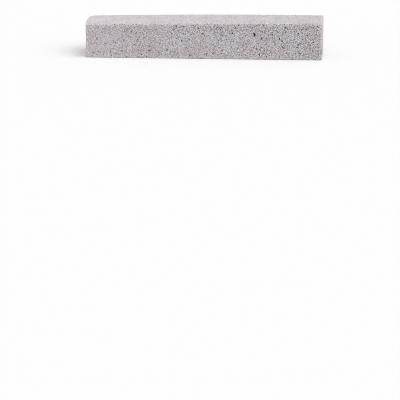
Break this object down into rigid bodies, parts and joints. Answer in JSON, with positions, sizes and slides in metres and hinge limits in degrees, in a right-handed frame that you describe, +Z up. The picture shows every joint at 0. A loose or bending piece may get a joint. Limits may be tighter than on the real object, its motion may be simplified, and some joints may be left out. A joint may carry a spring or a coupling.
{
  "type": "pumice stone",
  "caption": "Bar of foamed pumice stone, sawn to a long low block with open pores in every face, for scouring and rubbing down.",
  "frame": {"origin": "centre of the base, on the plane that the bar lies on", "axes": "+X along the bar, towards its squarer end; +Y from the front face to the back face; +Z up, out of the top face"},
  "size_m": [0.15, 0.035, 0.0228],
  "materials": {
    "pumice": null
  },
  "bodies": {
    "root": {"pumice_bar": "pumice"}
  },
  "joints": []
}
